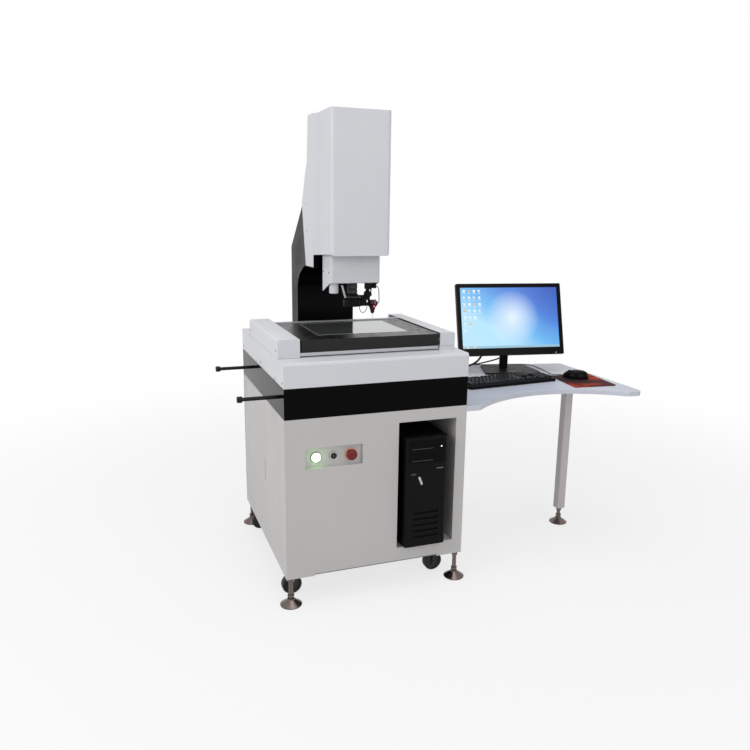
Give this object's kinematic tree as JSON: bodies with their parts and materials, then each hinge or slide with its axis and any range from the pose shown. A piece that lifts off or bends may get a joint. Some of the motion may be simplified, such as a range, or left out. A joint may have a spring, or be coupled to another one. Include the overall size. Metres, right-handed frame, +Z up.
{
  "type": "video measuring machine",
  "caption": "Optical measuring machine on a sheet steel cabinet, with a moving glass stage under a camera and touch probe, and a desk wing with screen, keyboard and mouse.",
  "frame": {"origin": "middle of the footprint's box, on the floor", "axes": "+Z up, +Y from the front to the back, +X from the cabinet to the desk wing"},
  "size_m": [1.66, 0.848, 1.768],
  "materials": {
    "frame_steel": "satin",
    "cabinet_paint": "textured satin",
    "controller_case": "brushed",
    "lamp_lens": "frosted",
    "green_button": "gloss",
    "red_button": "gloss",
    "black_case": "satin",
    "black_plastic": "satin",
    "granite": "polished black stone",
    "chromed_steel": "polished",
    "white_paint": "satin",
    "guide_steel": "ground",
    "screw_steel": "ground",
    "saddle_alloy": "milled",
    "motor_case": "black anodised",
    "black_alloy": "black anodised",
    "stage_glass": "clear",
    "column_paint": "textured",
    "camera_case": "anodised",
    "probe_case": "anodised",
    "desk_board": "laminated board",
    "leg_paint": "satin",
    "gloss_black": "gloss",
    "screen_glass": "matt screen",
    "pad_rubber": "cloth faced",
    "cable_rubber": "matt",
    "castor_zinc": "zinc plated",
    "castor_nylon": "moulded"
  },
  "bodies": {
    "machine": {"cabinet_frame": "frame_steel", "cabinet_shell": "cabinet_paint", "motion_controller": "controller_case", "indicator_lamp": "lamp_lens", "pc_case": "black_case", "pc_bezel": "black_plastic", "granite_base": "granite", "lifting_bars": "chromed_steel", "base_cover": "white_paint", "y_guides": "guide_steel", "column": "column_paint", "servo_motors": "motor_case", "head_cover": "white_paint", "desk_top": "desk_board", "desk_leg": "leg_paint", "monitor_stand": "black_plastic", "keyboard": "black_plastic", "mouse": "gloss_black", "mouse_pad": "pad_rubber", "display_cable": "cable_rubber", "power_cable": "cable_rubber", "mouse_cord": "cable_rubber"},
    "door": {"side_door": "cabinet_paint"},
    "start_key": {"start_button": "green_button"},
    "estop_key": {"estop_button": "red_button"},
    "y_axis": {"y_saddle": "saddle_alloy", "x_guides": "guide_steel", "x_motor": "motor_case", "left_fairing": "white_paint", "right_fairing": "white_paint"},
    "y_screw": {"y_ballscrew": "screw_steel"},
    "x_axis": {"stage_table": "black_alloy", "stage_glass": "stage_glass"},
    "x_screw": {"x_ballscrew": "screw_steel"},
    "z_axis": {"z_carriage": "saddle_alloy", "z_shroud": "white_paint", "zoom_lens": "black_alloy", "camera": "camera_case", "ring_light": "black_plastic", "probe_mount": "black_plastic", "probe_cable": "cable_rubber", "light_cable": "cable_rubber"},
    "z_screw": {"z_ballscrew": "screw_steel"},
    "touch_probe": {"probe_head": "probe_case", "stylus": "screw_steel"},
    "display": {"monitor_housing": "gloss_black", "monitor_screen": "screen_glass"},
    "levelling_front_left": {"foot_front_left": "chromed_steel"},
    "levelling_front_right": {"foot_front_right": "chromed_steel"},
    "levelling_rear_left": {"foot_rear_left": "chromed_steel"},
    "levelling_rear_right": {"foot_rear_right": "chromed_steel"},
    "levelling_desk": {"foot_desk": "chromed_steel"},
    "swivel_front_left": {"castor_fork_front_left": "castor_zinc"},
    "roller_front_left": {"castor_wheel_front_left": "castor_nylon"},
    "swivel_front_right": {"castor_fork_front_right": "castor_zinc"},
    "roller_front_right": {"castor_wheel_front_right": "castor_nylon"},
    "swivel_rear_left": {"castor_fork_rear_left": "castor_zinc"},
    "roller_rear_left": {"castor_wheel_rear_left": "castor_nylon"},
    "swivel_rear_right": {"castor_fork_rear_right": "castor_zinc"},
    "roller_rear_right": {"castor_wheel_rear_right": "castor_nylon"}
  },
  "joints": [
    {"name": "y_travel", "type": "slide", "parent": "machine", "child": "y_axis", "axis": [0, 1, 0], "range_m": [-0.09, 0.09]},
    {"name": "x_travel", "type": "slide", "parent": "y_axis", "child": "x_axis", "axis": [1, 0, 0], "range_m": [-0.055, 0.055]},
    {"name": "z_travel", "type": "slide", "parent": "machine", "child": "z_axis", "axis": [0, 0, 1], "range_m": [-0.03, 0.17]},
    {"name": "y_screw_turn", "type": "hinge", "parent": "machine", "child": "y_screw", "pos_m": [-0.34, -0.094, 0.848], "axis": [0, 1, 0], "continuous": true},
    {"name": "x_screw_turn", "type": "hinge", "parent": "y_axis", "child": "x_screw", "pos_m": [-0.34, -0.274, 0.935], "axis": [1, 0, 0], "continuous": true},
    {"name": "z_screw_turn", "type": "hinge", "parent": "machine", "child": "z_screw", "pos_m": [-0.34, -0.005, 1.4], "axis": [0, 0, 1], "continuous": true},
    {"name": "door_hinge", "type": "hinge", "parent": "machine", "child": "door", "pos_m": [-0.683, 0.384, 0.43], "axis": [0, 0, -1], "range_deg": [0, 110]},
    {"name": "start_press", "type": "slide", "parent": "machine", "child": "start_key", "axis": [0, 1, 0], "range_m": [0, 0.004], "stiffness_N_per_m": 500, "springref_m": -0.004},
    {"name": "estop_press", "type": "slide", "parent": "machine", "child": "estop_key", "axis": [0, 1, 0], "range_m": [0, 0.006], "stiffness_N_per_m": 1500, "springref_m": -0.004},
    {"name": "probe_tilt", "type": "hinge", "parent": "z_axis", "child": "touch_probe", "pos_m": [-0.256, -0.072, 1.06], "axis": [-1, 0, 0], "range_deg": [0, 90]},
    {"name": "display_tilt", "type": "hinge", "parent": "machine", "child": "display", "pos_m": [0.49123, 0.1577, 0.93043], "axis": [0.989, -0.1478, 0], "range_deg": [-5, 15]},
    {"name": "foot_front_left_screw", "type": "slide", "parent": "machine", "child": "levelling_front_left", "axis": [0, 0, -1], "range_m": [0, 0.02]},
    {"name": "foot_front_right_screw", "type": "slide", "parent": "machine", "child": "levelling_front_right", "axis": [0, 0, -1], "range_m": [0, 0.02]},
    {"name": "foot_rear_left_screw", "type": "slide", "parent": "machine", "child": "levelling_rear_left", "axis": [0, 0, -1], "range_m": [0, 0.02]},
    {"name": "foot_rear_right_screw", "type": "slide", "parent": "machine", "child": "levelling_rear_right", "axis": [0, 0, -1], "range_m": [0, 0.02]},
    {"name": "foot_desk_screw", "type": "slide", "parent": "machine", "child": "levelling_desk", "axis": [0, 0, -1], "range_m": [0, 0.02]},
    {"name": "castor_front_left_swivel", "type": "hinge", "parent": "machine", "child": "swivel_front_left", "pos_m": [-0.63, -0.298, 0.1], "axis": [0, 0, 1], "continuous": true},
    {"name": "castor_front_left_roll", "type": "hinge", "parent": "swivel_front_left", "child": "roller_front_left", "pos_m": [-0.65, -0.298, 0.0405], "axis": [0, 1, 0], "continuous": true},
    {"name": "castor_front_right_swivel", "type": "hinge", "parent": "machine", "child": "swivel_front_right", "pos_m": [-0.05, -0.298, 0.1], "axis": [0, 0, 1], "continuous": true},
    {"name": "castor_front_right_roll", "type": "hinge", "parent": "swivel_front_right", "child": "roller_front_right", "pos_m": [-0.07, -0.298, 0.0405], "axis": [0, 1, 0], "continuous": true},
    {"name": "castor_rear_left_swivel", "type": "hinge", "parent": "machine", "child": "swivel_rear_left", "pos_m": [-0.63, 0.305, 0.1], "axis": [0, 0, 1], "continuous": true},
    {"name": "castor_rear_left_roll", "type": "hinge", "parent": "swivel_rear_left", "child": "roller_rear_left", "pos_m": [-0.65, 0.305, 0.0405], "axis": [0, 1, 0], "continuous": true},
    {"name": "castor_rear_right_swivel", "type": "hinge", "parent": "machine", "child": "swivel_rear_right", "pos_m": [-0.05, 0.305, 0.1], "axis": [0, 0, 1], "continuous": true},
    {"name": "castor_rear_right_roll", "type": "hinge", "parent": "swivel_rear_right", "child": "roller_rear_right", "pos_m": [-0.07, 0.305, 0.0405], "axis": [0, 1, 0], "continuous": true}
  ],
  "couplings": [
    {"joint": "y_screw_turn", "follows": "y_travel", "rad_per_m": 628.32},
    {"joint": "x_screw_turn", "follows": "x_travel", "rad_per_m": 628.32},
    {"joint": "z_screw_turn", "follows": "z_travel", "rad_per_m": 628.32}
  ]
}
